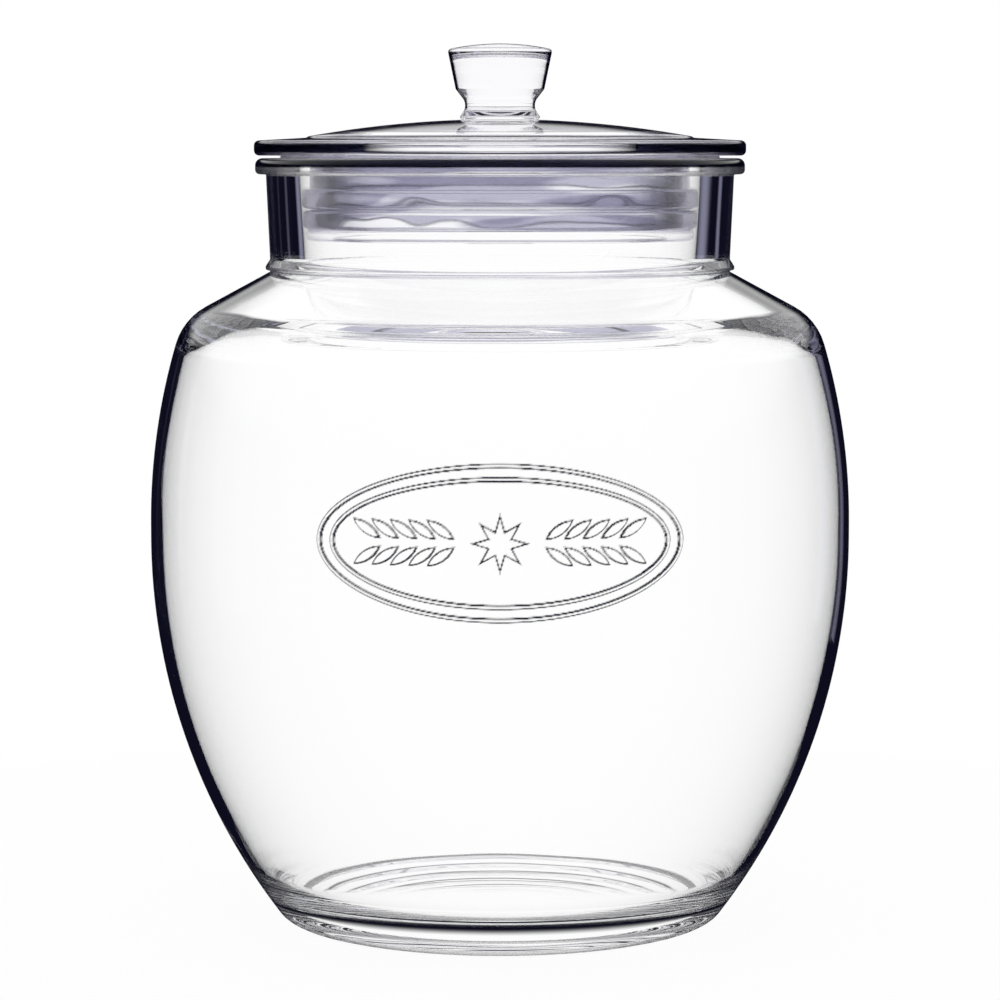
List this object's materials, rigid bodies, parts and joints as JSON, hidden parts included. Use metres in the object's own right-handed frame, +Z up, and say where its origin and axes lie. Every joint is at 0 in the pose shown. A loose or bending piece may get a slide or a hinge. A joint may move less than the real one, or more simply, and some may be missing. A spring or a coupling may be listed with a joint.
{
  "type": "glass storage jar",
  "caption": "Pot-bellied clear glass storage jar with a wide neck, a knobbed glass plug lid, a ribbed clear seal and an oval relief on the front.",
  "frame": {"origin": "centre of the ring that the jar stands on", "axes": "+Z up along the jar's axis, -Y towards the front with the oval medallion, +X to the right seen from the front"},
  "size_m": [0.19, 0.1908, 0.2377],
  "materials": {
    "jar_glass": "clear, glossy, faintly wavy inside the neck",
    "lid_glass": "clear, glossy, pressed",
    "seal_rubber": "clear flexible seal, satin"
  },
  "bodies": {
    "root": {"jar_body": "jar_glass", "lid": "lid_glass", "seal": "seal_rubber"}
  },
  "joints": []
}
